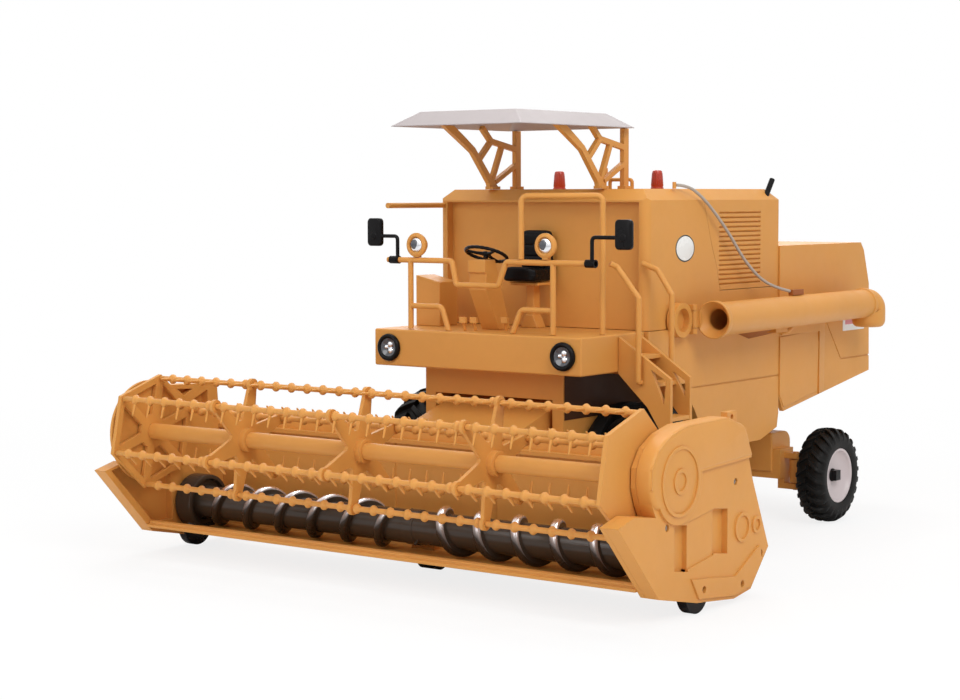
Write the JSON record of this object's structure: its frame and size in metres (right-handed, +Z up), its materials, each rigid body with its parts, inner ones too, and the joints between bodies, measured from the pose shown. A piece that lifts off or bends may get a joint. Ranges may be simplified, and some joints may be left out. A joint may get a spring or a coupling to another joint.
{
  "type": "combine harvester scale model",
  "caption": "Plastic scale model of a combine harvester with an open platform under a canopy, a grain header with reel and auger, rolling wheels and a swing-out unloading tube.",
  "frame": {"origin": "floor level, under the middle of the whole model's box", "axes": "-Y is the front (header) end, +Y the rear, +X the model's left side, +Z up"},
  "size_m": [0.29, 0.3777, 0.207],
  "materials": {
    "ochre_plastic": "moulded ochre-yellow plastic, satin",
    "canopy_plastic": "light grey plastic, thin sheet",
    "black_plastic": "black plastic, satin",
    "dark_auger_plastic": "dark brown-grey plastic, satin",
    "tyre_rubber": "soft black vinyl",
    "rim_plastic": "pale pinkish grey plastic",
    "red_plastic": "red plastic, satin",
    "lamp_chrome": "chromed lamp with black bezel",
    "cord_vinyl": "light grey vinyl cord"
  },
  "bodies": {
    "chassis": {"lower_body": "ochre_plastic", "straw_hood": "ochre_plastic", "grain_tank": "ochre_plastic", "engine_cover": "ochre_plastic", "operator_platform": "ochre_plastic", "front_rail": "ochre_plastic", "entry_hoop": "ochre_plastic", "ladder_rails": "ochre_plastic", "ladder": "ochre_plastic", "canopy": "canopy_plastic", "canopy_brackets": "ochre_plastic", "beacons": "red_plastic", "exhaust_stub": "black_plastic", "roof_fittings": "ochre_plastic", "side_bar": "ochre_plastic", "seat": "black_plastic", "seat_pedestal": "ochre_plastic", "steering_column": "ochre_plastic", "steering_wheel": "black_plastic", "control_console": "ochre_plastic", "pedals": "ochre_plastic", "headlights": "lamp_chrome", "work_lamps": "ochre_plastic", "mirrors": "black_plastic", "tank_outlet": "ochre_plastic", "tube_hinge": "ochre_plastic", "tube_rest": "ochre_plastic", "cord_hook": "ochre_plastic", "front_axle": "ochre_plastic", "rear_axle_beam": "ochre_plastic"},
    "unloader": {"unloading_tube": "ochre_plastic", "cord_clip": "ochre_plastic", "pull_cord": "cord_vinyl"},
    "tie_rod": {"tie_rod": "ochre_plastic"},
    "header": {"header_trough": "ochre_plastic", "feeder_house": "ochre_plastic", "left_end_panel": "ochre_plastic", "drive_cover": "ochre_plastic", "right_end_panel": "ochre_plastic", "knife_bar": "ochre_plastic"},
    "reel": {"reel_tube": "ochre_plastic", "reel_spiders": "ochre_plastic", "reel_end_frames": "ochre_plastic", "reel_tine_bars": "ochre_plastic"},
    "auger": {"header_auger": "dark_auger_plastic", "auger_flights": "dark_auger_plastic"},
    "header_roller_middle": {"header_roller_middle": "black_plastic"},
    "front_wheel_left": {"front_tyre_left": "tyre_rubber", "front_rim_left": "rim_plastic"},
    "rear_wheel_left": {"rear_tyre_left": "tyre_rubber", "rear_rim_left": "rim_plastic"},
    "knuckle_left": {"knuckle_left": "ochre_plastic"},
    "header_roller_left": {"header_roller_left": "black_plastic"},
    "front_wheel_right": {"front_tyre_right": "tyre_rubber", "front_rim_right": "rim_plastic"},
    "rear_wheel_right": {"rear_tyre_right": "tyre_rubber", "rear_rim_right": "rim_plastic"},
    "knuckle_right": {"knuckle_right": "ochre_plastic"},
    "header_roller_right": {"header_roller_right": "black_plastic"}
  },
  "joints": [
    {"name": "header_lift", "type": "hinge", "parent": "chassis", "child": "header", "pos_m": [0, -0.068, 0.069], "axis": [-1, 0, 0], "range_deg": [0, 14]},
    {"name": "reel_spin", "type": "hinge", "parent": "header", "child": "reel", "pos_m": [0, -0.162, 0.0589], "axis": [1, 0, 0], "continuous": true},
    {"name": "auger_spin", "type": "hinge", "parent": "header", "child": "auger", "pos_m": [0, -0.132, 0.0223], "axis": [1, 0, 0], "continuous": true},
    {"name": "unloader_swing", "type": "hinge", "parent": "chassis", "child": "unloader", "pos_m": [0.065, -0.0035, 0.1103], "axis": [0, 0, -1], "range_deg": [0, 90]},
    {"name": "front_wheel_left_spin", "type": "hinge", "parent": "chassis", "child": "front_wheel_left", "pos_m": [0.0623, -0.035, 0.0369], "axis": [1, 0, 0], "continuous": true},
    {"name": "header_roller_left_spin", "type": "hinge", "parent": "header", "child": "header_roller_left", "pos_m": [0.1392, -0.128, 0.009], "axis": [1, 0, 0], "continuous": true},
    {"name": "front_wheel_right_spin", "type": "hinge", "parent": "chassis", "child": "front_wheel_right", "pos_m": [-0.0623, -0.035, 0.0369], "axis": [1, 0, 0], "continuous": true},
    {"name": "header_roller_right_spin", "type": "hinge", "parent": "header", "child": "header_roller_right", "pos_m": [-0.1411, -0.128, 0.009], "axis": [1, 0, 0], "continuous": true},
    {"name": "header_roller_middle_spin", "type": "hinge", "parent": "header", "child": "header_roller_middle", "pos_m": [-0.003, -0.117, 0.0064], "axis": [1, 0, 0], "continuous": true},
    {"name": "steer_left", "type": "hinge", "parent": "chassis", "child": "knuckle_left", "pos_m": [0.056, 0.1156, 0.0243], "axis": [0, 0, 1], "range_deg": [-20, 20]},
    {"name": "steer_right", "type": "hinge", "parent": "chassis", "child": "knuckle_right", "pos_m": [-0.056, 0.1156, 0.0243], "axis": [0, 0, 1], "range_deg": [-20, 20]},
    {"name": "tie_rod_turn", "type": "hinge", "parent": "knuckle_left", "child": "tie_rod", "pos_m": [0.056, 0.1296, 0.0223], "axis": [0, 0, 1], "range_deg": [-20, 20]},
    {"name": "rear_wheel_left_spin", "type": "hinge", "parent": "knuckle_left", "child": "rear_wheel_left", "pos_m": [0.07425, 0.1156, 0.0243], "axis": [1, 0, 0], "continuous": true},
    {"name": "rear_wheel_right_spin", "type": "hinge", "parent": "knuckle_right", "child": "rear_wheel_right", "pos_m": [-0.07425, 0.1156, 0.0243], "axis": [1, 0, 0], "continuous": true}
  ],
  "couplings": [
    {"joint": "steer_right", "follows": "steer_left", "ratio": 1},
    {"joint": "tie_rod_turn", "follows": "steer_left", "ratio": -1}
  ]
}
